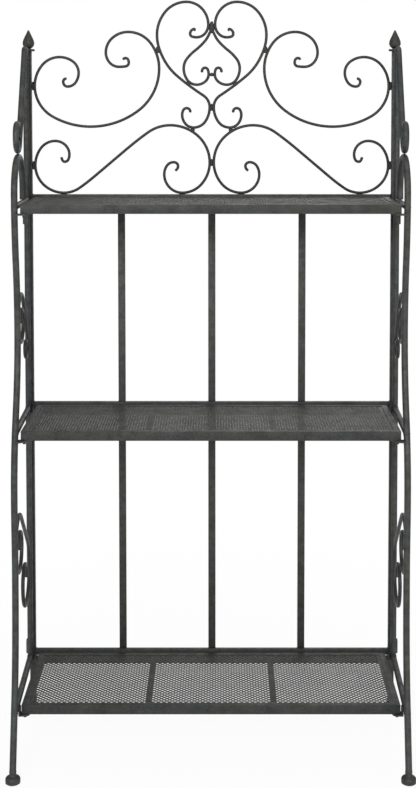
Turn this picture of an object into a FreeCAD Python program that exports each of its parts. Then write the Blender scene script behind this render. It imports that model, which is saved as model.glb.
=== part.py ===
import FreeCAD, Part
import math
import os

from FreeCAD import Placement, Rotation, Vector

# Folding wrought-iron bakers rack, in millimetres.
# The front faces -Y, the floor is Z = 0 and X = 0 is the middle.
# "reach" is a distance forward of the back posts' centre plane.

# Back frame
postSpacing = 790.5
postSize = 12.7
postTop = 1452.0
tubeWall = 1.2
railHeight = 12.7
railDepth = 9.5
railStep = 5.0            # a rail's top above its shelf's surface
slatWidth = 15.8
slatThickness = 3.0
slatSpacing = 196.5
slatStep = 1.0            # a slat's end inside the outer rails' edges

# Shelves, from the top down: surface height and depth front to back
shelfHeights = {"top": 1138.0, "middle": 684.0, "bottom": 132.5}
shelfDepths = {"top": 236.0, "middle": 254.0, "bottom": 274.0}
shelfSideGap = 8.1        # shelf end to post
rimWidth = 12.7
rimHeight = 19.0
rimWall = 1.5
sheetThickness = 0.6
sheetDrop = 1.5           # sheet's face below the rim's
stiffenerWidth = 12.7
stiffenerThickness = 3.0
panelCount = 3
# Openings in each panel of sheet, in place of its punched holes
openColumns = 4
openRows = 4
openMargin = 8.0
openShare = 0.62          # of the room that each opening has, both ways

# Shelf pivots at the back, and catches at the front corners
pivotSwing = 0.8          # free space behind the turning rim
earThickness = 3.0
earMargin = 5.0           # metal round the pivot hole
earGap = 0.2              # ear to rail
rivetRadius = 3.0
rivetPlay = 0.06
shoulderRadius = 4.6
washerGap = 0.3
rivetHeadRadius = 5.0
rivetHeadHeight = 1.8
catchRadius = 3.0
catchDrop = 8.0           # catch pin below the rim
catchPlay = 1.2
tabThickness = 3.0
tabMargin = 5.5           # metal round the catch hole
tabGap = 0.3
webBite = 1.0             # lowest tab's upright into the crossbar's side

# Side frames
sideOffset = 3.6          # stile's centre outside the post's
sideToe = 1.5             # degrees that the side frame leans inward at the front
stileReach = 18.0
stileRadius = 6.35
legRadius = 6.75
crossRadius = 6.35
stileFootDrop = 6.0       # stile's end below the bottom crossbar
stileCrook = 13.0
stileTop = 1462.0
armLean = 60.0            # degrees below level
armCurl = 30.0
archRadius = 75.0
archTop = 1230.0
legBulgeReach = 245.0
legLean = 17.3            # degrees off upright at the foot
legFlare = 138.0          # straight run above the foot
legStart = 14.0           # tube's lower end, inside the foot
kneeReach = 279.0
kneeRise = 272.5          # above the bottom shelf
shinReach = 286.0
shinDrop = 132.0          # below the middle shelf
tuckReach = 206.0
tuckRise = 196.0          # above the middle shelf
bayRodRadius = 4.0
bayGap = 0.15             # scroll to leg and to stile
# A bay scroll's two curls: height above the shelf named, and radius
bayShelves = {"upper": "middle", "lower": "bottom"}
bayFronts = {"upper": (210.0, 50.0), "lower": (306.0, 58.0)}
bayRears = {"upper": (139.5, 27.0), "lower": (207.5, 69.0)}

# Feet
footReach = 346.0
footRadius = 15.0
footTop = 26.5
footBase = 10.5           # radius of its flat underside
footBelly = 9.5           # widest place above the underside
footShoulder = 12.6       # radius where the crown begins
footCrown = 4.5           # crown's height
crownSwell = 0.5          # crown's arc out from its chord
footNeck = 7.6
glideHeight = 4.5
glideRadius = 12.0
rearGlideHeight = 4.0
plugLength = 12.0
plugPlay = 0.1

# Vertical hinge sleeves between posts and side frames
sleeveRadius = 4.5
sleeveBore = 2.6
sleeveHeight = 28.0
sleevePinRadius = 2.5
sleeveCentres = [1092.0, 141.0]
lugThickness = 3.0
lugWidth = 8.0
lugGap = 0.3              # lug to post

# Crest
crestRodRadius = 3.0
weldHeight = 16.0
weldDepth = 5.0

# Finials
finialHeight = 45.5
finialRadius = 12.6
collarRadius = 13.5
collarHeight = 4.5
collarRound = 1.2
neckRadius = 5.5
neckHeight = 2.5
bellyRise = 10.5
tipRadius = 0.8

# Places that follow from the sizes above
sides = {"left": -1, "right": 1}
postX = postSpacing / 2
postInner = postX - postSize / 2
postOuter = postX + postSize / 2
sideX = postX + sideOffset
toeCosine = math.cos(math.radians(sideToe))
toeSine = math.sin(math.radians(sideToe))
footForward = stileReach + (footReach - stileReach) * toeCosine + footRadius
postY = (footForward - max(collarRadius, postSize / 2)) / 2
shelfHalfWidth = postInner - shelfSideGap
rimCorner = math.hypot(rimWidth / 2, rimHeight / 2)
pivotReach = postSize / 2 + pivotSwing + rimCorner
shelfBack = pivotReach - rimWidth / 2
railCentre = postSize / 2 - railDepth / 2
crestBase = shelfHeights["top"] + railStep
crossCentres = {name: height - crossRadius for name, height in shelfHeights.items()}

os.makedirs("parts", exist_ok=True)


def save(name, shapes):
    solids = [solid for shape in shapes for solid in shape.Solids]
    shape = solids[0] if len(solids) == 1 else Part.makeCompound(solids)
    shape.exportStep("parts/" + name + ".step")


def block(x0, x1, y0, y1, z0, z1):
    low = Vector(min(x0, x1), min(y0, y1), min(z0, z1))
    return Part.makeBox(abs(x1 - x0), abs(y1 - y0), abs(z1 - z0), low)


def disc(radius, height, base, axis=Vector(0, 0, 1)):
    return Part.makeCylinder(radius, height, base, axis)


# A flat line of straight runs and tangent arcs. Headings are in degrees.
class Path:
    def __init__(self, point, heading):
        self.point = point
        self.heading = heading
        self.pieces = []

    def ahead(self, distance, turned=0.0):
        angle = math.radians(self.heading + turned)
        x = self.point[0] + distance * math.cos(angle)
        return (x, self.point[1] + distance * math.sin(angle))

    def line(self, length):
        end = self.ahead(length)
        self.pieces.append({"kind": "line", "from": self.point, "to": end})
        self.point = end
        return self

    # sweep is positive to the left
    def turn(self, radius, sweep):
        side = math.copysign(1, sweep)
        centre = self.ahead(radius, 90 * side)
        first = self.heading - 90 * side
        spots = []
        for share in (0.5, 1.0):
            angle = math.radians(first + sweep * share)
            spots.append((centre[0] + radius * math.cos(angle), centre[1] + radius * math.sin(angle)))
        piece = {"kind": "arc", "from": self.point, "mid": spots[0], "to": spots[1]}
        piece.update({"centre": centre, "radius": radius, "first": first, "sweep": sweep})
        self.pieces.append(piece)
        self.point = spots[1]
        self.heading += sweep
        return self

    # One arc that leaves along the heading and ends at the point
    def arcTo(self, point):
        run = (point[0] - self.point[0], point[1] - self.point[1])
        chord = math.hypot(*run)
        away = math.degrees(math.atan2(run[1], run[0])) - self.heading
        away = (away + 180) % 360 - 180
        if abs(away) < 0.01:
            return self.line(chord)
        return self.turn(abs(chord / 2 / math.sin(math.radians(away))), 2 * away)

    # Two tangent arcs that end at the point with the given heading
    def reach(self, point, heading):
        t0 = (math.cos(math.radians(self.heading)), math.sin(math.radians(self.heading)))
        t1 = (math.cos(math.radians(heading)), math.sin(math.radians(heading)))
        run = (point[0] - self.point[0], point[1] - self.point[1])
        both = (t0[0] + t1[0], t0[1] + t1[1])
        along = run[0] * both[0] + run[1] * both[1]
        square = run[0] ** 2 + run[1] ** 2
        bend = 2 * (1 - t0[0] * t1[0] - t0[1] * t1[1])
        if bend < 1e-9:
            arm = square / (2 * along)
        else:
            arm = (math.sqrt(along ** 2 + bend * square) - along) / bend
        x = (self.point[0] + arm * t0[0] + point[0] - arm * t1[0]) / 2
        y = (self.point[1] + arm * t0[1] + point[1] - arm * t1[1]) / 2
        self.arcTo((x, y))
        self.arcTo(point)
        self.heading = heading
        return self

    # First place where the path crosses a height
    def crossing(self, height):
        for piece in self.pieces:
            if piece["kind"] == "line":
                rise = piece["to"][1] - piece["from"][1]
                share = (height - piece["from"][1]) / rise if rise else -1
                if 0 <= share <= 1:
                    return piece["from"][0] + share * (piece["to"][0] - piece["from"][0])
                continue
            lift = (height - piece["centre"][1]) / piece["radius"]
            if abs(lift) > 1:
                continue
            for angle in (math.asin(lift), math.pi - math.asin(lift)):
                turned = (math.degrees(angle) - piece["first"]) * math.copysign(1, piece["sweep"])
                if turned % 360 <= abs(piece["sweep"]) + 1e-6:
                    return piece["centre"][0] + piece["radius"] * math.cos(angle)
        raise ValueError("no crossing at this height")

    def wire(self, place):
        edges = []
        for piece in self.pieces:
            if piece["kind"] == "line":
                edges.append(Part.LineSegment(place(piece["from"]), place(piece["to"])).toShape())
            else:
                arc = Part.Arc(place(piece["from"]), place(piece["mid"]), place(piece["to"]))
                edges.append(arc.toShape())
        return Part.Wire(edges)


def rod(path, place, radius):
    wire = path.wire(place)
    edge = wire.Edges[0]
    tangent = edge.tangentAt(edge.FirstParameter)
    circle = Part.makeCircle(radius, place(path.pieces[0]["from"]), tangent)
    profile = Part.Face(Part.Wire(circle))
    return wire.makePipe(profile)


def crestPlace(side):
    return lambda spot: Vector(side * spot[0], postY, crestBase + spot[1])


def sidePlace(side):
    def place(spot):
        forward = spot[0] - stileReach
        x = sideX - forward * toeSine
        return Vector(side * x, postY - stileReach - forward * toeCosine, spot[1])
    return place


# Posts, their finials and their plastic end plugs
def backPost(side):
    x = side * postX
    half = postSize / 2
    hole = half - tubeWall
    outer = block(x - half, x + half, postY - half, postY + half, rearGlideHeight, postTop)
    bore = block(x - hole, x + hole, postY - hole, postY + hole, 0, postTop - tubeWall)
    return outer.cut(bore)


def finial(side):
    base = Vector(side * postX, postY, postTop)

    def spot(radius, height):
        return base + Vector(radius, 0, height)

    neckTop = collarHeight + neckHeight
    bellyHeight = neckTop + bellyRise
    taper = finialHeight - bellyHeight
    edge = collarRadius - collarRound
    rim = Part.Arc(spot(edge, 0), spot(collarRadius, collarHeight / 2), spot(edge, collarHeight))
    leaf = Part.BSplineCurve()
    leaf.interpolate([
        spot(neckRadius, neckTop),
        spot(finialRadius * 0.86, neckTop + bellyRise * 0.4),
        spot(finialRadius, bellyHeight),
        spot(finialRadius * 0.63, bellyHeight + taper * 0.42),
        spot(finialRadius * 0.24, bellyHeight + taper * 0.8),
        spot(tipRadius, finialHeight),
    ])
    edges = [
        Part.LineSegment(spot(0, 0), spot(edge, 0)),
        rim,
        Part.LineSegment(spot(edge, collarHeight), spot(neckRadius, collarHeight)),
        Part.LineSegment(spot(neckRadius, collarHeight), spot(neckRadius, neckTop)),
        leaf,
        Part.LineSegment(spot(tipRadius, finialHeight), spot(0, finialHeight)),
        Part.LineSegment(spot(0, finialHeight), spot(0, 0)),
    ]
    outline = Part.Wire([edge.toShape() for edge in edges])
    return Part.Face(outline).revolve(base, Vector(0, 0, 1), 360)


def rearGlide(side):
    x = side * postX
    half = postSize / 2
    plug = half - tubeWall - plugPlay
    flange = block(x - half, x + half, postY - half, postY + half, 0, rearGlideHeight)
    plugTop = rearGlideHeight + plugLength
    stem = block(x - plug, x + plug, postY - plug, postY + plug, rearGlideHeight, plugTop)
    return flange.fuse(stem).removeSplitter()


# Rails between the posts, and slats on the rails' rear faces
def backRail(name):
    top = shelfHeights[name] + railStep
    y = postY - railCentre
    outer = block(-postInner, postInner, y - railDepth / 2, y + railDepth / 2, top - railHeight, top)
    hole = railDepth / 2 - tubeWall
    bore = block(-postInner, postInner, y - hole, y + hole, top - railHeight + tubeWall, top - tubeWall)
    return outer.cut(bore)


def backSlat(x):
    y = postY - railCentre + railDepth / 2
    low = shelfHeights["bottom"] + railStep - railHeight + slatStep
    high = shelfHeights["top"] + railStep - slatStep
    return block(x - slatWidth / 2, x + slatWidth / 2, y, y + slatThickness, low, high)


# Crest scrolls, each a bent rod. A spot is (out from the middle, up from the top rail).
def crestPaths():
    seat = crestRodRadius + 0.1
    post = postInner - 6.5
    middle = crestRodRadius + 1.4

    heart = Path((37.5, 354.5), 150)
    heart.reach((46.5, 346.5), 270)
    heart.reach((32.5, 339.0), 180)
    heart.reach((7.3, 366.0), 90)
    heart.reach((54.5, 415.0), 0)
    heart.reach((118.0, 344.0), 270)
    heart.reach((101.0, 287.5), 240)
    heart.reach((44.5, 232.0), 216)
    heart.reach((middle, 188.5), 270)
    heart.reach((39.0, 144.5), 0)
    heart.reach((64.0, 172.0), 90)
    heart.reach((54.0, 186.5), 180)
    heart.reach((46.5, 178.5), 275)

    inner = Path((4.0, 349.5), 290)
    inner.reach((36.0, 310.5), 322)
    inner.reach((60.5, 272.0), 270)
    inner.reach((32.5, 237.0), 180)
    inner.reach((6.6, 260.0), 90)
    inner.reach((14.5, 273.5), 0)
    inner.reach((21.0, 265.0), 265)

    cee = Path((190.5, 292.0), 120)
    cee.reach((184.0, 294.0), 200)
    cee.reach((179.0, 284.5), 270)
    cee.reach((200.0, 275.5), 0)
    cee.reach((228.5, 306.0), 90)
    cee.reach((180.0, 350.5), 180)
    cee.reach((113.5, 272.0), 270)
    cee.reach((262.0, 146.5), 0)
    cee.reach((post, 234.0), 90)
    cee.reach((post - 54.0, 296.5), 180)
    cee.reach((post - 95.0, 262.5), 270)
    cee.reach((post - 71.0, 233.0), 0)
    cee.reach((post - 61.5, 243.0), 90)
    cee.reach((post - 67.5, 250.0), 180)

    ess = Path((post - 57.0, 79.0), 260)
    ess.reach((post - 64.0, 70.5), 180)
    ess.reach((post - 74.0, 86.0), 90)
    ess.reach((post - 43.5, 115.5), 0)
    ess.reach((post, 62.5), 270)
    ess.reach((post - 61.5, seat), 180)
    ess.reach((257.0, 36.5), 140)
    ess.reach((180.0, 101.5), 140)
    ess.reach((89.5, 149.5), 180)
    ess.reach((middle, 69.0), 270)
    ess.reach((64.0, seat), 0)
    ess.reach((103.0, 43.0), 90)
    ess.reach((82.5, 69.5), 180)
    ess.reach((73.0, 61.0), 270)
    ess.reach((78.0, 52.0), 325)
    return {"heart_scroll": heart, "inner_scroll": inner, "c_scroll": cee, "s_scroll": ess}


def crestWelds(rods):
    pairs = [
        (postInner - 3.5, 234.0, 7.0, weldHeight),
        (postInner - 3.5, 62.5, 7.0, weldHeight),
        (116.5, 311.0, 9.0, 10.0),
        (50.5, 239.5, 9.0, 10.0),
        (41.0, 139.5, 9.0, 8.0),
    ]
    middles = [(360.5, 14.0, 26.0), (259.0, 13.0, 8.0), (188.5, 9.0, weldHeight), (69.0, 9.0, weldHeight)]
    pads = []
    for side in sides.values():
        for out, up, width, height in pairs:
            low = max(up - height / 2, 0)
            pads.append((side * out, width, low, up + height / 2))
    for up, width, height in middles:
        pads.append((0, width, up - height / 2, up + height / 2))
    shapes = []
    for x, width, low, high in pads:
        right = min(x + width / 2, postInner)
        left = max(x - width / 2, -postInner)
        half = weldDepth / 2
        pad = block(left, right, postY - half, postY + half, crestBase + low, crestBase + high)
        near = [shape for shape in rods if shape.BoundBox.intersect(pad.BoundBox)]
        shapes.append(max(pad.cut(near).Solids, key=lambda solid: solid.Volume))
    return shapes


# The front leg: foot, flare, two S-bends and the arch down to the top crossbar
def legPath():
    lean = (footTop - legStart) * math.tan(math.radians(legLean))
    path = Path((footReach + lean, legStart), 90 + legLean)
    path.line(legFlare)
    path.reach((kneeReach, shelfHeights["bottom"] + kneeRise), 90)
    path.reach((shinReach, shelfHeights["middle"] - shinDrop), 90)
    path.reach((tuckReach, shelfHeights["middle"] + tuckRise), 90)
    path.reach((legBulgeReach, archTop - archRadius), 90)
    path.turn(archRadius, 180)
    path.line(archTop - archRadius - shelfHeights["top"])
    return path


# The stile, hooked over at its top into an arm that ends in a curl on the arch
def stilePath():
    low = crossCentres["bottom"] - crossRadius - stileFootDrop
    crook = stileTop - stileRadius - stileCrook
    path = Path((stileReach, low), 90)
    path.line(crook - low)
    path.turn(stileCrook, -90 - armLean)
    curlLow = archTop + legRadius + stileRadius + 0.2
    curlStart = curlLow + armCurl * (1 - math.cos(math.radians(armLean)))
    path.line((path.point[1] - curlStart) / math.sin(math.radians(armLean)))
    path.turn(armCurl, armLean + 90)
    path.turn(armCurl * 0.8, 90)
    path.turn(armCurl * 0.58, 90)
    path.turn(armCurl * 0.4, 75)
    return path


def tube(path, place, radius):
    return rod(path, place, radius).cut(rod(path, place, radius - tubeWall))


# A C-scroll whose back runs from beside the leg down to beside the stile
def bayPaths(leg, bay):
    base = shelfHeights[bayShelves[bay]]
    frontHeight = base + bayFronts[bay][0]
    frontRadius = bayFronts[bay][1]
    rearHeight = base + bayRears[bay][0]
    rearRadius = bayRears[bay][1]
    clear = bayRodRadius + bayGap
    edge = min(leg.crossing(frontHeight + share * frontRadius) for share in (-0.35, 0.0, 0.35))
    front = (edge - legRadius - clear - frontRadius, frontHeight)
    rear = (stileReach + stileRadius + clear + rearRadius, rearHeight)
    away = (rear[0] - front[0], rear[1] - front[1])
    distance = math.hypot(*away)
    heading = math.degrees(math.atan2(away[1], away[0]))
    heading -= math.degrees(math.asin((rearRadius - frontRadius) / distance))
    run = math.sqrt(distance ** 2 - (rearRadius - frontRadius) ** 2)
    angle = math.radians(heading - 90)
    start = (front[0] + frontRadius * math.cos(angle), front[1] + frontRadius * math.sin(angle))
    ahead = Path(start, heading)
    ahead.line(run / 2)
    middle = ahead.point
    ahead = Path(middle, heading)
    ahead.line(run / 2)
    ahead.turn(rearRadius, 360 - heading % 360)
    ahead.turn(rearRadius * 0.78, 90)
    ahead.turn(rearRadius * 0.55, 90)
    ahead.turn(rearRadius * 0.36, 110)
    behind = Path(middle, heading + 180)
    behind.line(run / 2)
    behind.turn(frontRadius, -(heading % 360))
    behind.turn(frontRadius * 0.78, -90)
    behind.turn(frontRadius * 0.55, -90)
    behind.turn(frontRadius * 0.36, -110)
    return ahead, behind


def bayScroll(paths, place):
    halves = [rod(path, place, bayRodRadius) for path in paths]
    return halves[0].fuse(halves[1]).removeSplitter()


# Crossbars run from the stile to the leg, level with each shelf
def crossPath(leg, name):
    height = crossCentres[name]
    start = stileReach + stileRadius / 2
    return Path((start, height), 0).line(leg.crossing(height) - start)


def crossbar(leg, place, name, neighbours):
    return tube(crossPath(leg, name), place, crossRadius).cut(neighbours)


# Catch tabs under the shelves' front corners. The upper two stand on the leg, and the
# lowest hangs from its crossbar, because there the leg is too far forward.
def catchTabs(leg, side, legSolid):
    tabs = []
    for name, height in shelfHeights.items():
        top = height - rimHeight - tabGap
        low = top - tabThickness
        half = catchRadius + catchPlay + tabMargin
        pinX = shelfHalfWidth - rimWidth / 2
        pinReach = shelfBack + shelfDepths[name] - rimWidth / 2
        pin = Vector(side * pinX, postY - pinReach, low)
        if name == "bottom":
            barEdge = abs(sidePlace(side)((pinReach, low)).x) - crossRadius
            web = barEdge + webBite
            plate = block(side * pinX, side * web, pin.y - half, pin.y + half, low, top)
            inner = side * (web - tabThickness)
            upright = block(inner, side * web, pin.y - half, pin.y + half, low, crossCentres[name])
            held = [legSolid, rod(crossPath(leg, name), sidePlace(side), crossRadius)]
            arm = plate.fuse(upright)
        else:
            across = sidePlace(side)((leg.crossing(low + tabThickness / 2), low)) - pin
            arm = block(0, across.Length, -half, half, 0, tabThickness)
            arm.Placement = Placement(pin, Rotation(Vector(1, 0, 0), across))
            held = [legSolid]
        hole = disc(catchRadius + catchPlay, tabThickness, pin)
        tab = disc(half, tabThickness, pin).fuse(arm).removeSplitter().cut([hole] + held)
        tabs.append(max(tab.Solids, key=lambda solid: solid.Volume))
    return tabs


def frontFoot(side):
    base = sidePlace(side)((footReach, 0))

    def spot(radius, height):
        return base + Vector(radius, 0, height)

    low = spot(footBase, glideHeight)
    belly = spot(footRadius, glideHeight + footBelly)
    shoulder = spot(footShoulder, footTop - footCrown)
    neck = spot(footNeck, footTop)
    crown = spot((footShoulder + footNeck) / 2 + crownSwell, footTop - footCrown / 2 + crownSwell)
    edges = [
        Part.LineSegment(spot(0, glideHeight), low),
        Part.Arc(low, belly, shoulder),
        Part.Arc(shoulder, crown, neck),
        Part.LineSegment(neck, spot(0, footTop)),
        Part.LineSegment(spot(0, footTop), spot(0, glideHeight)),
    ]
    outline = Part.Wire([edge.toShape() for edge in edges])
    return Part.Face(outline).revolve(base, Vector(0, 0, 1), 360)


def frontGlide(side):
    return disc(glideRadius, glideHeight, sidePlace(side)((footReach, 0)))


# Hinge sleeves on the posts, and the pins that the stiles hang on
def hingeSleeve(side, height):
    base = Vector(side * (postOuter + sleeveRadius), postY, height - sleeveHeight / 2)
    return disc(sleeveRadius, sleeveHeight, base).cut(disc(sleeveBore, sleeveHeight, base))


def hingePin(side, height, stile):
    top = height + sleeveHeight / 2 + 0.3
    centre = Vector(side * (postOuter + sleeveRadius), postY, top)
    stileAt = sidePlace(side)((stileReach, top))
    pin = disc(sleevePinRadius, sleeveHeight, centre - Vector(0, 0, sleeveHeight))
    across = stileAt - centre
    lug = block(0, across.Length, -lugWidth / 2, lugWidth / 2, 0, lugThickness)
    lug.Placement = Placement(centre, Rotation(Vector(1, 0, 0), across))
    eye = disc(lugWidth / 2, lugThickness, centre)
    clear = postSize / 2 + lugGap
    post = block(side * (postX - clear), side * (postX + clear), postY - clear, postY + clear, 0, postTop)
    joined = lug.fuse([eye, pin]).cut([stile, post])
    return max(joined.Solids, key=lambda solid: solid.Volume)


# The ear's arm is welded to the post's inner face, below the rail's end
def pivotEar(side, name):
    axis = Vector(side * postInner, postY - pivotReach, shelfHeights[name] - rimHeight / 2)
    across = Vector(-side, 0, 0)
    radius = rivetRadius + rivetPlay + earMargin
    eye = disc(radius, earThickness, axis, across)
    inner = side * (postInner - earThickness)
    railLow = shelfHeights[name] + railStep - railHeight
    arm = block(side * postInner, inner, axis.y, postY + postSize / 2, axis.z - radius, railLow - earGap)
    hole = disc(rivetRadius + rivetPlay, earThickness, axis, across)
    return eye.fuse(arm).removeSplitter().cut(hole)


# One shelf: rim of downward channel, sheet, stiffeners, pivot rivets and catch pins
def shelfRim(name):
    back = postY - shelfBack
    front = back - shelfDepths[name]
    top = shelfHeights[name]

    def ring(inset, high):
        low = top - rimHeight
        outer = block(-shelfHalfWidth + inset, shelfHalfWidth - inset, front + inset, back - inset, low, high)
        edge = rimWidth - inset
        hole = block(-shelfHalfWidth + edge, shelfHalfWidth - edge, front + edge, back - edge, low, high)
        return outer.cut(hole)

    rim = ring(0, top).cut(ring(rimWall, top - rimWall))
    for side in sides.values():
        outer = Vector(side * shelfHalfWidth, postY - pivotReach, top - rimHeight / 2)
        rim = rim.cut(disc(rivetRadius, rimWall, outer, Vector(-side, 0, 0)))
    return rim


def shelfSheet(name):
    back = postY - shelfBack - rimWidth
    front = postY - shelfBack - shelfDepths[name] + rimWidth
    top = shelfHeights[name] - sheetDrop
    low = top - sheetThickness
    half = shelfHalfWidth - rimWidth
    edges = [-half - stiffenerWidth / 2]
    edges += [shelfHalfWidth * (2 * index / panelCount - 1) for index in range(1, panelCount)]
    edges.append(half + stiffenerWidth / 2)
    inset = stiffenerWidth / 2 + openMargin
    deep = (back - front - 2 * openMargin) / openRows
    holes = []
    for left, right in zip(edges, edges[1:]):
        wide = (right - left - 2 * inset) / openColumns
        for column in range(openColumns):
            x = left + inset + (column + 0.5) * wide
            reachX = wide * openShare / 2
            for row in range(openRows):
                y = front + openMargin + (row + 0.5) * deep
                reachY = deep * openShare / 2
                holes.append(block(x - reachX, x + reachX, y - reachY, y + reachY, low, top))
    return block(-half, half, front, back, low, top).cut(holes)


def stiffeners(name):
    back = postY - shelfBack - rimWidth
    front = postY - shelfBack - shelfDepths[name] + rimWidth
    top = shelfHeights[name] - sheetDrop - sheetThickness
    bars = []
    for index in range(1, panelCount):
        x = shelfHalfWidth * (2 * index / panelCount - 1)
        left = x - stiffenerWidth / 2
        right = x + stiffenerWidth / 2
        bars.append(block(left, right, front, back, top - stiffenerThickness, top))
    return bars


def shelfPins(name):
    top = shelfHeights[name]
    pins = []
    for side in sides.values():
        inward = Vector(side, 0, 0)
        start = Vector(side * (shelfHalfWidth - rimWall), postY - pivotReach, top - rimHeight / 2)
        stem = disc(rivetRadius, rimWall + shelfSideGap + washerGap, start, inward)
        shoulder = shelfSideGap - earThickness - washerGap
        collar = disc(shoulderRadius, shoulder, start + inward * rimWall, inward)
        underHead = start + inward * (rimWall + shelfSideGap + washerGap)
        head = disc(rivetHeadRadius, rivetHeadHeight, underHead, inward)
        pins.append(stem.fuse([collar, head]).removeSplitter())
        spot = Vector(side * (shelfHalfWidth - rimWidth / 2),
                      postY - shelfBack - shelfDepths[name] + rimWidth / 2, top - rimHeight - catchDrop)
        pins.append(disc(catchRadius, catchDrop + rimHeight - rimWall, spot))
    return pins


def build():
    save("rear_glides", [rearGlide(side) for side in sides.values()])
    for name in shelfHeights:
        save("back_rail_" + name, [backRail(name)])
    for label, x in (("left", -slatSpacing), ("centre", 0), ("right", slatSpacing)):
        save("back_slat_" + label, [backSlat(x)])

    paths = crestPaths()
    rods = []
    for label, side in sides.items():
        for name, path in paths.items():
            shape = rod(path, crestPlace(side), crestRodRadius)
            rods.append(shape)
            save(name + "_" + label, [shape])
    save("crest_welds", crestWelds(rods))

    leg = legPath()
    bays = {name: bayPaths(leg, name) for name in bayShelves}
    sleeves = []
    hingePins = []
    for label, side in sides.items():
        place = sidePlace(side)
        save("back_post_" + label, [backPost(side)])
        save("finial_" + label, [finial(side)])
        legSolid = rod(leg, place, legRadius)
        stileSolid = rod(stilePath(), place, stileRadius)
        below = block(-postSpacing, postSpacing, -postSpacing, postSpacing, 0, footTop)
        save("front_leg_" + label, [tube(leg, place, legRadius).cut(below)])
        save("side_stile_" + label, [tube(stilePath(), place, stileRadius)])
        for name in shelfHeights:
            save("crossbar_" + name + "_" + label, [crossbar(leg, place, name, [legSolid, stileSolid])])
        for name, bay in bays.items():
            save(name + "_bay_scroll_" + label, [bayScroll(bay, place)])
        save("catch_tabs_" + label, catchTabs(leg, side, legSolid))
        save("front_foot_" + label, [frontFoot(side)])
        for height in sleeveCentres:
            sleeves.append(hingeSleeve(side, height))
            hingePins.append(hingePin(side, height, stileSolid))
    save("front_glides", [frontGlide(side) for side in sides.values()])
    save("hinge_sleeves", sleeves)
    save("hinge_pins", hingePins)
    save("pivot_ears", [pivotEar(side, name) for side in sides.values() for name in shelfHeights])
    for name in shelfHeights:
        save("shelf_rim_" + name, [shelfRim(name)])
        save("shelf_sheet_" + name, [shelfSheet(name)])
        save("shelf_stiffeners_" + name, stiffeners(name))
        save("shelf_pins_" + name, shelfPins(name))


build()
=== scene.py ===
import bpy
import bmesh
import math
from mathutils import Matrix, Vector
from mathutils.bvhtree import BVHTree


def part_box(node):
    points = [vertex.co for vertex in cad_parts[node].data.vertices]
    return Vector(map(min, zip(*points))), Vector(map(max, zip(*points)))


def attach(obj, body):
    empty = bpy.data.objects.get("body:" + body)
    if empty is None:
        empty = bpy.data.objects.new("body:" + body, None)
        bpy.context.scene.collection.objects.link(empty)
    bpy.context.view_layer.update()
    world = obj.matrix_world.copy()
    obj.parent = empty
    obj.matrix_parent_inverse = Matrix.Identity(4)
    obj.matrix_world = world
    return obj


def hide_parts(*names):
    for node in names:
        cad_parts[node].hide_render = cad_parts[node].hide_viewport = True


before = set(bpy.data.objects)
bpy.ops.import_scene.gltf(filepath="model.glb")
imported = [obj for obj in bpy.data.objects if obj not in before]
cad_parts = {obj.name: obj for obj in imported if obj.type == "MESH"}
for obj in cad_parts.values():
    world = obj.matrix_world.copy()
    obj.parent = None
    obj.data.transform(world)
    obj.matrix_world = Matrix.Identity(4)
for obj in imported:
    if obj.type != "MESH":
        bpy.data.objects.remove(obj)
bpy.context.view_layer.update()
print("rack: frame loaded,", len(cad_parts), "nodes")

sides = {"left": -1, "right": 1}
shelves = ("top", "middle", "bottom")


def middleOf(node):
    low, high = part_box(node)
    return (Vector(low) + Vector(high)) / 2


def undersideOf(node):
    middle = middleOf(node)
    return Vector((middle.x, middle.y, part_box(node)[0][2]))


postY = middleOf("back_post_right").y


# Node helpers
def addNode(tree, kind, inputs=None, **settings):
    node = tree.nodes.new(kind)
    for key, value in settings.items():
        setattr(node, key, value)
    for key, value in (inputs or {}).items():
        node.inputs[key].default_value = value
    return node


def feed(tree, socket, value):
    if isinstance(value, bpy.types.NodeSocket):
        tree.links.new(value, socket)
    else:
        socket.default_value = value


def blendColours(tree, factor, first, second, kind="MIX"):
    node = addNode(tree, "ShaderNodeMix", data_type="RGBA", blend_type=kind)
    for index, value in ((0, factor), (6, first), (7, second)):
        feed(tree, node.inputs[index], value)
    return node.outputs[2]


def remap(tree, source, fromLow, fromHigh, toLow, toHigh):
    node = addNode(tree, "ShaderNodeMapRange")
    for index, value in enumerate((fromLow, fromHigh, toLow, toHigh), start=1):
        node.inputs[index].default_value = value
    tree.links.new(source, node.inputs[0])
    return node.outputs[0]


def combine(tree, operation, first, second):
    node = addNode(tree, "ShaderNodeMath", operation=operation)
    for socket, value in zip(node.inputs, (first, second)):
        feed(tree, socket, value)
    return node.outputs[0]


def newGroup(name, inputs, outputs):
    group = bpy.data.node_groups.new(name, "ShaderNodeTree")
    for label, kind, value in inputs:
        socket = group.interface.new_socket(label, in_out="INPUT", socket_type=kind)
        if value is not None:
            socket.default_value = value
    for label, kind in outputs:
        group.interface.new_socket(label, in_out="OUTPUT", socket_type=kind)
    return group, group.nodes.new("NodeGroupInput"), group.nodes.new("NodeGroupOutput")


def addNoise(group, start, label, detail, roughness):
    where = group.nodes.new("ShaderNodeTexCoord")
    noise = addNode(group, "ShaderNodeTexNoise", {"Detail": detail, "Roughness": roughness})
    group.links.new(where.outputs["Object"], noise.inputs["Vector"])
    group.links.new(start.outputs[label], noise.inputs["Scale"])
    return noise.outputs[0]


# Where each mask starts and where it is full
maskRanges = {
    "blotches": (0.36, 0.66), "speckle": (0.38, 0.64), "tint": (0.38, 0.62), "dust": (0.55, 1.0),
    "edge": (0.995, 0.86), "edgeBreakup": (0.38, 0.6),
    # the next three shape the painted shade in crevices: its ambient-occlusion range and its noise breakup
    "closed": (0.35, 0.9), "shadeBreakup": (0.3, 0.6), "leastShade": 0.6,
    "scuffs": (0.3, 1.0),
}


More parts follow.
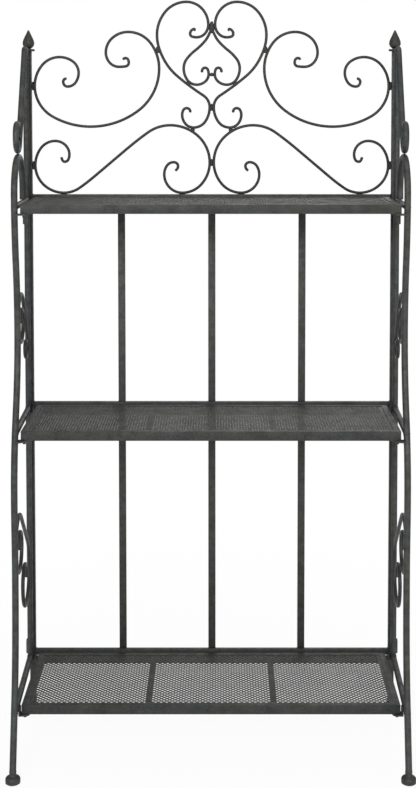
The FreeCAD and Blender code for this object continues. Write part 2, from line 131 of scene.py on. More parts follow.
# Blotches of thicker and thinner paint, over a finer speckle, and a slow change of tint
def buildPatina():
    group, start, end = newGroup(
        "ironPatina",
        [("Blotch Scale", "NodeSocketFloat", 60.0), ("Speckle Scale", "NodeSocketFloat", 900.0),
         ("Speckle Share", "NodeSocketFloat", 0.4), ("Tint Scale", "NodeSocketFloat", 11.0)],
        [("Mask", "NodeSocketFloat"), ("Speckle", "NodeSocketFloat"), ("Tint", "NodeSocketFloat")])
    wide = remap(group, addNoise(group, start, "Blotch Scale", 5.0, 0.62), *maskRanges["blotches"], 0.0, 1.0)
    fine = remap(group, addNoise(group, start, "Speckle Scale", 3.0, 0.7), *maskRanges["speckle"], 0.0, 1.0)
    tint = remap(group, addNoise(group, start, "Tint Scale", 3.0, 0.55), *maskRanges["tint"], 0.0, 1.0)
    share = group.nodes.new("ShaderNodeMix")
    group.links.new(start.outputs["Speckle Share"], share.inputs[0])
    group.links.new(wide, share.inputs[2])
    group.links.new(fine, share.inputs[3])
    group.links.new(share.outputs[0], end.inputs["Mask"])
    group.links.new(fine, end.inputs["Speckle"])
    group.links.new(tint, end.inputs["Tint"])
    return group


# Paint rubbed thin along edges, broken up by noise
def buildEdgeWear():
    group, start, end = newGroup(
        "edgeWear",
        [("Radius", "NodeSocketFloat", 0.0012), ("Breakup Scale", "NodeSocketFloat", 220.0),
         ("Amount", "NodeSocketFloat", 0.8)],
        [("Mask", "NodeSocketFloat")])
    rounded = addNode(group, "ShaderNodeBevel", samples=4)
    flat = group.nodes.new("ShaderNodeNewGeometry")
    group.links.new(start.outputs["Radius"], rounded.inputs["Radius"])
    dot = addNode(group, "ShaderNodeVectorMath", operation="DOT_PRODUCT")
    group.links.new(rounded.outputs[0], dot.inputs[0])
    group.links.new(flat.outputs["Normal"], dot.inputs[1])
    edge = remap(group, dot.outputs["Value"], *maskRanges["edge"], 0.0, 1.0)
    broken = remap(group, addNoise(group, start, "Breakup Scale", 4.0, 0.65),
                   *maskRanges["edgeBreakup"], 0.0, 1.0)
    mask = combine(group, "MULTIPLY", edge, broken)
    mask = combine(group, "MULTIPLY", mask, start.outputs["Amount"])
    group.links.new(mask, end.inputs["Mask"])
    return group


# Painted shade: paint darkened where surfaces meet, as far as ambient light is occluded there, broken up by
# noise
def buildCreviceShade():
    group, start, end = newGroup(
        "crevices",
        [("Reach", "NodeSocketFloat", 0.006), ("Breakup Scale", "NodeSocketFloat", 120.0),
         ("Amount", "NodeSocketFloat", 0.7)],
        [("Mask", "NodeSocketFloat")])
    near = addNode(group, "ShaderNodeAmbientOcclusion", samples=4)
    group.links.new(start.outputs["Reach"], near.inputs["Distance"])
    closed = remap(group, near.outputs["AO"], *maskRanges["closed"], 1.0, 0.0)
    broken = remap(group, addNoise(group, start, "Breakup Scale", 3.0, 0.6),
                   *maskRanges["shadeBreakup"], maskRanges["leastShade"], 1.0)
    mask = combine(group, "MULTIPLY", closed, broken)
    mask = combine(group, "MULTIPLY", mask, start.outputs["Amount"])
    group.links.new(mask, end.inputs["Mask"])
    return group


# Height of brushed-on paint over drawn steel: soft dents, runs and grit
def buildPaintGrain():
    group, start, end = newGroup(
        "paintGrain",
        [("Dent Scale", "NodeSocketFloat", 130.0), ("Grit Scale", "NodeSocketFloat", 1500.0),
         ("Grit Share", "NodeSocketFloat", 0.35)],
        [("Height", "NodeSocketFloat")])
    share = group.nodes.new("ShaderNodeMix")
    group.links.new(start.outputs["Grit Share"], share.inputs[0])
    group.links.new(addNoise(group, start, "Dent Scale", 2.0, 0.5), share.inputs[2])
    group.links.new(addNoise(group, start, "Grit Scale", 3.0, 0.6), share.inputs[3])
    group.links.new(share.outputs[0], end.inputs["Height"])
    return group


patina = buildPatina()
edgeWear = buildEdgeWear()
crevices = buildCreviceShade()
paintGrain = buildPaintGrain()


def useGroup(tree, group, values):
    node = addNode(tree, "ShaderNodeGroup", node_tree=group)
    for key, value in values.items():
        node.inputs[key].default_value = value
    return node


def colour(red, green, blue):
    return (red, green, blue, 1.0)


def newMaterial(name):
    material = bpy.data.materials.new(name)
    material.use_nodes = True
    return material, material.node_tree, material.node_tree.nodes["Principled BSDF"]


def addRelief(tree, shader, settings):
    grain = useGroup(tree, paintGrain, settings["grain"])
    bump = addNode(tree, "ShaderNodeBump", {"Strength": settings["bump"], "Distance": settings["relief"]})
    tree.links.new(grain.outputs["Height"], bump.inputs["Height"])
    tree.links.new(bump.outputs[0], shader.inputs["Normal"])


# One painted iron finish: dark and light paint, cool to warm tint, rubbed edges, painted shade in crevices,
# gloss and grain
def buildIron(name, settings):
    material, tree, shader = newMaterial(name)
    shader.inputs["Metallic"].default_value = settings["metallic"]
    shader.inputs["Specular IOR Level"].default_value = settings["specular"]
    blotches = useGroup(tree, patina, settings["patina"])
    wear = useGroup(tree, edgeWear, settings["wear"])
    paintedShade = useGroup(tree, crevices, settings["crevices"])
    paint = blendColours(tree, blotches.outputs["Mask"], settings["dark"], settings["light"])
    tint = blendColours(tree, blotches.outputs["Tint"], settings["cool"], settings["warm"])
    paint = blendColours(tree, 1.0, paint, tint, "MULTIPLY")
    dusty = remap(tree, blotches.outputs["Speckle"], *maskRanges["dust"], 0.0, settings["dustAmount"])
    paint = blendColours(tree, dusty, paint, settings["dust"])
    paint = blendColours(tree, wear.outputs["Mask"], paint, settings["edge"])
    # Painted shade: the paint is darkened toward a near-black shade colour where ambient light is occluded,
    # in crevices and between parts
    paint = blendColours(tree, paintedShade.outputs["Mask"], paint, settings["paintedShade"])
    tree.links.new(paint, shader.inputs["Base Color"])
    low, high = settings["roughness"]
    tree.links.new(remap(tree, blotches.outputs["Mask"], 0.0, 1.0, high, low), shader.inputs["Roughness"])
    addRelief(tree, shader, settings)
    return material


ironSettings = {
    "dark": colour(0.0155, 0.0155, 0.0150),
    "light": colour(0.046, 0.046, 0.0437),
    "cool": colour(0.90, 1.0, 1.04),
    "warm": colour(1.08, 1.04, 0.88),
    "edge": colour(0.095, 0.096, 0.090),
    "dust": colour(0.075, 0.076, 0.070),
    # near-black colour of the painted shade in crevices
    "paintedShade": colour(0.008, 0.008, 0.0075),
    "dustAmount": 0.35,
    "metallic": 0.0,
    "specular": 0.36,
    "roughness": (0.42, 0.64),
    "bump": 0.5,
    "relief": 0.0008,
    "patina": {"Blotch Scale": 75.0, "Speckle Scale": 850.0, "Speckle Share": 0.35, "Tint Scale": 11.0},
    "wear": {"Radius": 0.0012, "Breakup Scale": 220.0, "Amount": 0.55},
    # reach and breakup of the painted shade in crevices
    "crevices": {"Reach": 0.006, "Breakup Scale": 120.0, "Amount": 0.8},
    "grain": {"Dent Scale": 170.0, "Grit Scale": 1500.0, "Grit Share": 0.3},
}
tubeSettings = {
    **ironSettings,
    "dark": colour(0.0170, 0.0174, 0.0174),
    "light": colour(0.057, 0.0582, 0.0575),
    "dust": colour(0.055, 0.055, 0.052),
    "patina": {"Blotch Scale": 60.0, "Speckle Scale": 850.0, "Speckle Share": 0.3, "Tint Scale": 9.0},
}
scrollSettings = {
    **ironSettings,
    "dark": colour(0.0115, 0.0115, 0.0115),
    "light": colour(0.026, 0.026, 0.0255),
    "dust": colour(0.045, 0.045, 0.043),
    "roughness": (0.40, 0.58),
    "bump": 0.35,
    "patina": {"Blotch Scale": 70.0, "Speckle Scale": 1100.0, "Speckle Share": 0.3, "Tint Scale": 10.0},
    "wear": {"Radius": 0.0008, "Breakup Scale": 320.0, "Amount": 0.4},
    "grain": {"Dent Scale": 260.0, "Grit Scale": 1800.0, "Grit Share": 0.3},
}
rimSettings = {
    **ironSettings,
    "dark": colour(0.0100, 0.0104, 0.0102),
    "light": colour(0.037, 0.0375, 0.0357),
    "bump": 0.6,
    "patina": {"Blotch Scale": 48.0, "Speckle Scale": 600.0, "Speckle Share": 0.4, "Tint Scale": 9.0},
    "grain": {"Dent Scale": 120.0, "Grit Scale": 1300.0, "Grit Share": 0.35},
}
sheetSettings = {
    **ironSettings,
    "dark": colour(0.0115, 0.0113, 0.0088),
    "light": colour(0.031, 0.0305, 0.0240),
    "specular": 0.42,
    "roughness": (0.46, 0.66),
    "patina": {"Blotch Scale": 34.0, "Speckle Scale": 700.0, "Speckle Share": 0.45, "Tint Scale": 8.0},
    "wear": {"Radius": 0.0004, "Breakup Scale": 400.0, "Amount": 0.3},
    # reach and breakup of the sheet's painted shade in crevices
    "crevices": {"Reach": 0.004, "Breakup Scale": 160.0, "Amount": 0.7},
    "grain": {"Dent Scale": 90.0, "Grit Scale": 1300.0, "Grit Share": 0.4},
}
weldSettings = {
    **ironSettings,
    "dark": colour(0.0115, 0.0115, 0.0115),
    "light": colour(0.028, 0.028, 0.027),
    "roughness": (0.5, 0.7),
    "bump": 0.7,
    "wear": {"Radius": 0.0006, "Breakup Scale": 500.0, "Amount": 0.3},
}

frameIron = buildIron("frame_iron", ironSettings)
tubeIron = buildIron("tube_iron", tubeSettings)
rimIron = buildIron("rim_iron", rimSettings)
scrollIron = buildIron("scroll_iron", scrollSettings)
sheetIron = buildIron("sheet_iron", sheetSettings)
weldIron = buildIron("weld_iron", weldSettings)


glideSettings = {
    "clean": colour(0.62, 0.61, 0.57),
    "scuffed": colour(0.40, 0.385, 0.35),
    "scuffAmount": 0.6,
    "roughness": (0.38, 0.6),
    "translucence": 0.08,
    "translucentReach": (0.003, 0.0028, 0.0024),
    "bump": 0.15,
    "relief": 0.0003,
    "patina": {"Blotch Scale": 160.0, "Speckle Scale": 1400.0, "Speckle Share": 0.3},
    "wear": {"Radius": 0.0008, "Breakup Scale": 600.0, "Amount": 0.7},
    "grain": {"Dent Scale": 500.0, "Grit Scale": 2400.0, "Grit Share": 0.5},
}


def buildGlidePlastic():
    material, tree, shader = newMaterial("glide_plastic")
    shader.inputs["Subsurface Weight"].default_value = glideSettings["translucence"]
    shader.inputs["Subsurface Radius"].default_value = glideSettings["translucentReach"]
    blotches = useGroup(tree, patina, glideSettings["patina"])
    wear = useGroup(tree, edgeWear, glideSettings["wear"])
    scuffs = remap(tree, blotches.outputs["Mask"], *maskRanges["scuffs"], 0.0, glideSettings["scuffAmount"])
    body = blendColours(tree, scuffs, glideSettings["clean"], glideSettings["scuffed"])
    body = blendColours(tree, wear.outputs["Mask"], body, glideSettings["scuffed"])
    tree.links.new(body, shader.inputs["Base Color"])
    low, high = glideSettings["roughness"]
    tree.links.new(remap(tree, blotches.outputs["Mask"], 0.0, 1.0, low, high), shader.inputs["Roughness"])
    addRelief(tree, shader, glideSettings)
    return material


glidePlastic = buildGlidePlastic()
print("rack: materials built")


# Mesh helpers
def linkPiece(name, mesh, material):
    piece = bpy.data.objects.new(name, mesh)
    bpy.context.scene.collection.objects.link(piece)
    mesh.materials.clear()
    mesh.materials.append(material)
    return piece


def meshFrom(name, build):
    work = bmesh.new()
    build(work)
    bmesh.ops.recalc_face_normals(work, faces=work.faces[:])
    mesh = bpy.data.meshes.new(name)
    work.to_mesh(mesh)
    work.free()
    return mesh


def smooth(mesh, degrees):
    mesh.polygons.foreach_set("use_smooth", [True] * len(mesh.polygons))
    mesh.set_sharp_from_angle(angle=math.radians(degrees))


# Applies every modifier, and leaves a plain mesh
def bake(piece, material):
    bpy.context.view_layer.update()
    ready = piece.evaluated_get(bpy.context.evaluated_depsgraph_get())
    mesh = bpy.data.meshes.new_from_object(ready)
    mesh.name = piece.name
    piece.modifiers.clear()
    piece.data = mesh
    mesh.materials.clear()
    mesh.materials.append(material)
    return piece


# Walls between rings of points, or between a ring and a single point
def bridgeRings(work, rings, steps):
    for first, second in zip(rings, rings[1:]):
        for step in range(steps):
            following = (step + 1) % steps
            corners = [first[step % len(first)], first[following % len(first)],
                       second[following % len(second)], second[step % len(second)]]
            unique = list(dict.fromkeys(corners))
            if len(unique) > 2:
                work.faces.new(unique)


def settle(piece, node, body):
    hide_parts(node)
    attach(piece, body)


# A Geometry Nodes tree that gives one geometry
def newModifierTree(name, inputs, output):
    tree = bpy.data.node_groups.new(name, "GeometryNodeTree")
    tree.is_modifier = True
    sockets = {}
    for label, kind in inputs:
        sockets[label] = tree.interface.new_socket(label, in_out="INPUT", socket_type=kind).identifier
    tree.interface.new_socket(output, in_out="OUTPUT", socket_type="NodeSocketGeometry")
    return tree, sockets, tree.nodes.new("NodeGroupInput"), tree.nodes.new("NodeGroupOutput")


def addModifier(piece, name, tree, sockets, values):
    modifier = piece.modifiers.new(name, "NODES")
    modifier.node_group = tree
    for label, value in values.items():
        modifier[sockets[label]] = value


mergeDistance = 2e-6


# A copy of a node's mesh, with its loose triangles joined
def mergedWork(node):
    work = bmesh.new()
    work.from_mesh(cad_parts[node].data)
    bmesh.ops.remove_doubles(work, verts=work.verts[:], dist=mergeDistance)
    return work


def joinFlats(work, degrees):
    bmesh.ops.dissolve_limit(work, angle_limit=math.radians(degrees),
                             verts=work.verts[:], edges=work.edges[:])


# Welds are laid as lines first: a line is a list of points on the joint
def surfaceOf(node):
    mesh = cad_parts[node].data
    return BVHTree.FromPolygons([v.co for v in mesh.vertices], [p.vertices for p in mesh.polygons])


# The boxes of a node's separate solids
def islandBoxes(node):
    work = mergedWork(node)
    work.verts.index_update()
    left = set(work.verts)
    boxes = []
    while left:
        queue = [left.pop()]
        spots = []
        while queue:
            vert = queue.pop()
            spots.append(vert.co.copy())
            for edge in vert.link_edges:
                other = edge.other_vert(vert)
                if other in left:
                    left.remove(other)
                    queue.append(other)
        low = Vector([min(s[axis] for s in spots) for axis in range(3)])
        high = Vector([max(s[axis] for s in spots) for axis in range(3)])
        boxes.append((low, high))
    work.free()
    # lowest first, then from the right: a set gives its members in no fixed order
    return sorted(boxes, key=lambda box: (round(box[0].z, 4), -round(box[0].x, 4)))


lineSettings = {
    "barPoints": 24, "barShare": 0.985,
    "railSteps": 4,
    "slatInset": 0.001, "slatDepth": 0.0004,
    "sleeveStep": 0.0008, "sleeveSpread": 0.0030, "sleeveInset": 0.003,
    "sameSpot": 0.03, "leastLength": 0.001, "compared": 40,
    "bayTouch": {"reach": 0.0006, "half": 0.007, "apart": 0.0024},
    "crestTouch": {"reach": 0.0005, "half": 0.005, "apart": 0.0018},
    "stileTouch": {"reach": 0.0008, "half": 0.007, "apart": 0.0030},
}


# Where a bar's outline, followed along its length, meets its neighbour
def endLine(outline, direction, surface):
    line = []
    for spot in outline:
        hit = surface.ray_cast(spot, direction)
        if hit[0] is not None:
            line.append(hit[0])
    if line:
        line.append(line[0])
    return line


def crossbarLines(node, label):
    low, high = (Vector(corner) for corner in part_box(node))
    radius = (high.z - low.z) / 2
    inner, outer = (low.x, high.x) if sides[label] > 0 else (high.x, low.x)
    front = Vector((inner + sides[label] * radius, low.y, low.z + radius))
    back = Vector((outer - sides[label] * radius, high.y, low.z + radius))
    along = (back - front).normalized()
    across = along.cross(Vector((0, 0, 1)))
    middle = (front + back) / 2
    outline = []
    for index in range(lineSettings["barPoints"]):
        angle = 2 * math.pi * index / lineSettings["barPoints"]
        spoke = across * math.cos(angle) + Vector((0, 0, math.sin(angle)))
        outline.append(middle + spoke * radius * lineSettings["barShare"])
    return [endLine(outline, along, surfaceOf("side_stile_" + label)),
            endLine(outline, -along, surfaceOf("front_leg_" + label))]


def railLines(node):
    low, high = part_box(node)
    steps = lineSettings["railSteps"]
    corners = [(low[1], low[2]), (high[1], low[2]), (high[1], high[2]), (low[1], high[2])]
    lines = []
    for label, side in sides.items():
        outline = []
        for (ya, za), (yb, zb) in zip(corners, corners[1:] + corners[:1]):
            for step in range(steps):
                outline.append(Vector((0, ya + (yb - ya) * step / steps, za + (zb - za) * step / steps)))
        lines.append(endLine(outline, Vector((side, 0, 0)), surfaceOf("back_post_" + label)))
    return lines


# A slat is welded down both edges, over each rail's height
def slatLines(node):
    low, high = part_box(node)
    lines = []
    for shelf in shelves:
        railLow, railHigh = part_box("back_rail_" + shelf)
        bottom = max(low[2], railLow[2]) + lineSettings["slatInset"]
        top = min(high[2], railHigh[2]) - lineSettings["slatInset"]
        y = low[1] + lineSettings["slatDepth"]
        for x in (low[0], high[0]):
            lines.append([Vector((x, y, bottom)), Vector((x, y, top))])
    return lines


# Rod against rod or rail: a short run of weld on both sides of the place where they touch
def touchLines(first, second, reach, half, apart):
    surface = surfaceOf(second)
    spots = []
    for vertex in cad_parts[first].data.vertices:
        found = surface.find_nearest(vertex.co, reach)
        if found[0] is None:
            continue
        place = (vertex.co.copy(), found[0])
        for spot in spots:
            if (spot[0][0] - place[0]).length < lineSettings["sameSpot"]:
                spot.append(place)
                break
        else:
            spots.append([place])
    lines = []
    for spot in spots:
        points = [pair[0] for pair in spot]
        centre = sum(points, Vector()) / len(points)
        nearest = surface.find_nearest(centre)[0]
        gaps = (a - b for a in points for b in points[:lineSettings["compared"]])
        widest = max(gaps, key=lambda gap: gap.length)
        if widest.length < lineSettings["leastLength"]:
            continue
        along = widest.normalized()
        toward = min(spot, key=lambda pair: (pair[0] - pair[1]).length)
        contact = (toward[0] + toward[1]) / 2
        normal = surface.find_nearest(contact)[1]
        aside = along.cross(normal).normalized() * apart
        contact = (contact + nearest) / 2
        for way in (-1, 1):
            lines.append([contact + aside * way - along * half, contact + aside * way + along * half])
    return lines


def sleeveLines():
    lines = []
    for low, high in islandBoxes("hinge_sleeves"):
        middle = (low + high) / 2
        side = 1 if middle.x > 0 else -1
        x = (low.x if side > 0 else high.x) + side * lineSettings["sleeveStep"]
        for way in (-1, 1):
            y = middle.y + way * lineSettings["sleeveSpread"]
            lines.append([Vector((x, y, low.z + lineSettings["sleeveInset"])),
                          Vector((x, y, high.z - lineSettings["sleeveInset"]))])
    return lines


def allWeldLines():
    lines = []
    for label in sides:
        for shelf in shelves:
            lines += crossbarLines("crossbar_" + shelf + "_" + label, label)
        for bay in ("upper", "lower"):
            for tube in ("front_leg_", "side_stile_"):
                lines += touchLines(bay + "_bay_scroll_" + label, tube + label, **lineSettings["bayTouch"])
        lines += touchLines("s_scroll_" + label, "back_rail_top", **lineSettings["crestTouch"])
        lines += touchLines("side_stile_" + label, "front_leg_" + label, **lineSettings["stileTouch"])
    for shelf in shelves:
        lines += railLines("back_rail_" + shelf)
    for place in ("left", "centre", "right"):
        lines += slatLines("back_slat_" + place)
    return lines + sleeveLines()


beadSettings = {"spacing": 0.0013, "radius": 0.00125, "seed": 11, "segments": 6, "rings": 4,
                "smallest": (0.75, 0.75, 0.7), "largest": (1.25, 1.25, 1.2), "turn": (6.28, 6.28, 6.28),
                "smooth": 180}


# Geometry Nodes: small uneven beads, laid close together along every weld line
def buildBeadTree():
    tree, sockets, start, end = newModifierTree(
        "weldBeads",
        [("Lines", "NodeSocketGeometry"), ("Spacing", "NodeSocketFloat"), ("Radius", "NodeSocketFloat"),
         ("Segments", "NodeSocketInt"), ("Rings", "NodeSocketInt"), ("Seed", "NodeSocketInt"),
         ("Finish", "NodeSocketMaterial")],
        "Beads")
    curve = tree.nodes.new("GeometryNodeMeshToCurve")
    spread = addNode(tree, "GeometryNodeResampleCurve", mode="LENGTH")
    ball = tree.nodes.new("GeometryNodeMeshUVSphere")
    size = addNode(tree, "FunctionNodeRandomValue", data_type="FLOAT_VECTOR")
    size.inputs[0].default_value = beadSettings["smallest"]
    size.inputs[1].default_value = beadSettings["largest"]
    turn = addNode(tree, "FunctionNodeRandomValue", data_type="FLOAT_VECTOR")
    turn.inputs[1].default_value = beadSettings["turn"]
    later = combine(tree, "ADD", start.outputs["Seed"], 1.0)
    euler = tree.nodes.new("FunctionNodeEulerToRotation")
    copies = tree.nodes.new("GeometryNodeInstanceOnPoints")
    real = tree.nodes.new("GeometryNodeRealizeInstances")
    paint = tree.nodes.new("GeometryNodeSetMaterial")
    links = (
        (start.outputs["Lines"], curve.inputs["Mesh"]),
        (curve.outputs[0], spread.inputs["Curve"]),
        (start.outputs["Spacing"], spread.inputs["Length"]),
        (start.outputs["Segments"], ball.inputs["Segments"]),
        (start.outputs["Rings"], ball.inputs["Rings"]),
        (start.outputs["Radius"], ball.inputs["Radius"]),
        (start.outputs["Seed"], size.inputs["Seed"]),
        (later, turn.inputs["Seed"]),
        (turn.outputs[0], euler.inputs[0]),
        (spread.outputs[0], copies.inputs["Points"]),
        (ball.outputs["Mesh"], copies.inputs["Instance"]),
        (euler.outputs[0], copies.inputs["Rotation"]),
        (size.outputs[0], copies.inputs["Scale"]),
        (copies.outputs[0], real.inputs[0]),
        (real.outputs[0], paint.inputs["Geometry"]),
        (start.outputs["Finish"], paint.inputs["Material"]),
        (paint.outputs[0], end.inputs[0]),
    )
    for source, target in links:
        tree.links.new(source, target)
    return tree, sockets


beadTree, beadSockets = buildBeadTree()


def buildWelds():
    lines = [line for line in allWeldLines() if len(line) > 1]

    def build(work):
        for line in lines:
            spots = [work.verts.new(point) for point in line]
            for pair in zip(spots, spots[1:]):
                work.edges.new(pair)

    piece = linkPiece("weld_beads", meshFrom("weld_beads", build), weldIron)
    addModifier(piece, "beads", beadTree, beadSockets, {
        "Spacing": beadSettings["spacing"], "Radius": beadSettings["radius"],
        "Segments": beadSettings["segments"], "Rings": beadSettings["rings"],
        "Seed": beadSettings["seed"], "Finish": weldIron})
    bake(piece, weldIron)
    smooth(piece.data, beadSettings["smooth"])
    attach(piece, "rack_frame")
    print("rack: welds along", len(lines), "lines,", len(piece.data.polygons), "faces")


padSettings = {
    "around": 20, "rings": 12, "thickness": 0.0027, "fullness": 0.62, "sink": 0.001,
    "middleReach": 0.002, "middleLonger": 1.0, "middleTaper": 0.4,
    "heartReach": 0.08, "heartHeight": 1.40, "heartLonger": 1.7,
    "longer": 1.20, "smooth": 80,
}


# The crest's weld pads, melted down to spindles that fill the gap between two rods
def buildPads():
    boxes = islandBoxes("crest_welds")

    def build(work):
        for low, high in boxes:
            centre = (low + high) / 2
            half = (high - low) / 2
            middle = abs(centre.x) < padSettings["middleReach"]
            longer = padSettings["middleLonger"] if middle else padSettings["longer"]
            if abs(centre.x) > padSettings["heartReach"] and centre.z > padSettings["heartHeight"]:
                longer = padSettings["heartLonger"]
            floor = low.z - padSettings["sink"]
            rings = []
            for ring in range(padSettings["rings"] + 1):
                tilt = math.pi * (ring / padSettings["rings"] - 0.5)
                narrow = max(math.cos(tilt), 0.0) ** padSettings["fullness"]
                if middle:  # a wedge, widest below, where the two halves of a pair part
                    narrow *= 1 - padSettings["middleTaper"] * (0.5 + 0.5 * math.sin(tilt))
                z = max(centre.z + half.z * longer * math.sin(tilt), floor)
                if ring in (0, padSettings["rings"]):
                    rings.append([work.verts.new((centre.x, centre.y, z))])
                    continue
                spots = []
                for step in range(padSettings["around"]):
                    turn = 2 * math.pi * step / padSettings["around"]
                    x = centre.x + half.x * narrow * math.cos(turn)
                    y = centre.y + padSettings["thickness"] * narrow * math.sin(turn)
                    spots.append(work.verts.new((x, y, z)))
                rings.append(spots)
            bridgeRings(work, rings, padSettings["around"])

    piece = linkPiece("melted_crest_welds", meshFrom("melted_crest_welds", build), weldIron)
    smooth(piece.data, padSettings["smooth"])
    settle(piece, "crest_welds", "rack_frame")
    print("rack:", len(boxes), "crest welds")


tipSettings = {"rise": 0.62, "rings": 4, "steps": 20, "bayRadius": 0.004, "crestRadius": 0.003,
               "inset": 0.998, "flatAngle": 0.2, "leastCorners": 10, "areaSlack": 0.08,
               "smooth": 60}


# Forged ends: a low dome on every flat end of a scroll's rod
def buildTips():
    ends = []
    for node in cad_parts:
        if "scroll" not in node:
            continue
        radius = tipSettings["bayRadius"] if "bay" in node else tipSettings["crestRadius"]
        work = mergedWork(node)
        joinFlats(work, tipSettings["flatAngle"])
        for face in work.faces:
            differs = abs(face.calc_area() / (math.pi * radius ** 2) - 1)
            if len(face.verts) >= tipSettings["leastCorners"] and differs < tipSettings["areaSlack"]:
                ends.append((face.calc_center_median(), face.normal.copy(), radius))
        work.free()

    def build(work):
        for centre, normal, radius in ends:
            first = normal.orthogonal().normalized()
            second = normal.cross(first)
            rings = []
            for ring in range(tipSettings["rings"] + 1):
                angle = math.pi / 2 * ring / tipSettings["rings"]
                out = radius * tipSettings["inset"] * math.cos(angle)
                rise = radius * tipSettings["rise"] * math.sin(angle)
                if ring == tipSettings["rings"]:
                    rings.append([work.verts.new(centre + normal * rise)])
                    continue
                spots = []
                for step in range(tipSettings["steps"]):
                    turn = 2 * math.pi * step / tipSettings["steps"]
                    spoke = first * math.cos(turn) + second * math.sin(turn)
                    spots.append(work.verts.new(centre + spoke * out + normal * rise))
                rings.append(spots)
            bridgeRings(work, rings, tipSettings["steps"])

    mesh = meshFrom("rod_tips", build)
    piece = linkPiece("rod_tips", mesh, scrollIron)
    smooth(mesh, tipSettings["smooth"])
    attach(piece, "rack_frame")
    print("rack:", len(ends), "rod tips")


buildWelds()
buildPads()
buildTips()


# Folded, sawn and punched metal: the solid's own shape with its edges eased by (width, segments)
easedEdges = {
    "back_post": (0.0014, 3),
    "back_rail": (0.0011, 3),
    "back_slat": (0.0007, 2),
    "shelf_rim": (0.0007, 3),
    "shelf_stiffeners": (0.0005, 2),
    "shelf_pins": (0.0008, 3),
    "catch_tabs": (0.0006, 2),
    "pivot_ears": (0.0006, 2),
    "hinge_sleeves": (0.0004, 2),
    "hinge_pins": (0.0004, 2),
    "front_glides": (0.0009, 3),
    "rear_glides": (0.0008, 3),
}
easeAngles = {"joined": 0.5, "eased": 35, "smooth": 42}


def easeEdges(node, width, segments):
    body, slot, material = "rack_frame", "frame", frameIron
    if node.startswith("shelf"):
        body, material = "shelf_" + node.rsplit("_", 1)[1], rimIron
    elif "glides" in node:
        slot, material = "glide", glidePlastic
    work = mergedWork(node)
    joinFlats(work, easeAngles["joined"])
    mesh = bpy.data.meshes.new("eased_" + node)
    work.to_mesh(mesh)
    work.free()
    piece = linkPiece("eased_" + node, mesh, material)
    bevel = piece.modifiers.new("ease", "BEVEL")
    bevel.width = width
    bevel.segments = segments
    bevel.limit_method = "ANGLE"
    bevel.angle_limit = math.radians(easeAngles["eased"])
    bevel.use_clamp_overlap = True
    bake(piece, material)
    smooth(piece.data, easeAngles["smooth"])
    settle(piece, node, body)


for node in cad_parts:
    for start, (width, segments) in easedEdges.items():
        if node.startswith(start):
            easeEdges(node, width, segments)
print("rack: edges eased")


# Perforated sheets, punched from above, so that a low burr stands under each hole
punchSettings = {"pitch": 0.0112, "holeRadius": 0.0031, "holeSides": 12, "leastMargin": 0.001,
                 "burr": 0.0006, "joined": 0.00002}


# One diamond of sheet with a hole: top, underside and the hole's wall
def buildTile(thickness):
    half = punchSettings["pitch"] / 2
    count = punchSettings["holeSides"]
    radius = punchSettings["holeRadius"]

    def build(work):
        rings = []
        for z, drop in ((0.0, 0.0), (-thickness, punchSettings["burr"])):
            corners = [work.verts.new((half * math.cos(a), half * math.sin(a), z))
                       for a in (0, math.pi / 2, math.pi, 3 * math.pi / 2)]
            hole = []
            for index in range(count):
                angle = 2 * math.pi * index / count
                hole.append(work.verts.new((radius * math.cos(angle), radius * math.sin(angle), z - drop)))
            rings.append((corners, hole))
        per = count // 4
        for corners, hole in rings:
            for index in range(count):
                following = hole[(index + 1) % count]
                corner = corners[((index + per - per // 2) // per) % 4]
                work.faces.new((hole[index], following, corner))
            for quarter in range(4):
                between = hole[(quarter * per + per // 2) % count]
                work.faces.new((corners[quarter], corners[(quarter + 1) % 4], between))
        for index in range(count):
            following = (index + 1) % count
            work.faces.new((rings[0][1][index], rings[0][1][following],
                            rings[1][1][following], rings[1][1][index]))

    return build


# The plain border: strips to the sheet's edges, and the half tiles along them
def buildBorder(low, high, columns, rows):
    pitch = punchSettings["pitch"]
    half = pitch / 2
    middle = (Vector(low) + Vector(high)) / 2
    x0 = middle.x - columns * pitch / 2
    x1 = middle.x + columns * pitch / 2
    y0 = middle.y - rows * pitch / 2
    y1 = middle.y + rows * pitch / 2

    def build(work):
        def flat(points):
            for z in (high[2], low[2]):
                work.faces.new([work.verts.new((x, y, z)) for x, y in points])

        flat([(low[0], low[1]), (high[0], low[1]), (high[0], y0), (low[0], y0)])
        flat([(low[0], y1), (high[0], y1), (high[0], high[1]), (low[0], high[1])])
        flat([(low[0], y0), (x0, y0), (x0, y1), (low[0], y1)])
        flat([(x1, y0), (high[0], y0), (high[0], y1), (x1, y1)])
        for index in range(1, columns):
            x = x0 + index * pitch
            flat([(x - half, y0), (x + half, y0), (x, y0 + half)])
            flat([(x - half, y1), (x, y1 - half), (x + half, y1)])
        for index in range(1, rows):
            y = y0 + index * pitch
            flat([(x0, y - half), (x0 + half, y), (x0, y + half)])
            flat([(x1, y - half), (x1, y + half), (x1 - half, y)])
        for x, across in ((x0, half), (x1, -half)):
            for y, along in ((y0, half), (y1, -half)):
                flat([(x, y), (x + across, y), (x, y + along)])
        edge = [(low[0], low[1]), (high[0], low[1]), (high[0], high[1]), (low[0], high[1])]
        for (xa, ya), (xb, yb) in zip(edge, edge[1:] + edge[:1]):
            corners = [(xa, ya, low[2]), (xb, yb, low[2]), (xb, yb, high[2]), (xa, ya, high[2])]
            work.faces.new([work.verts.new(corner) for corner in corners])

    return build


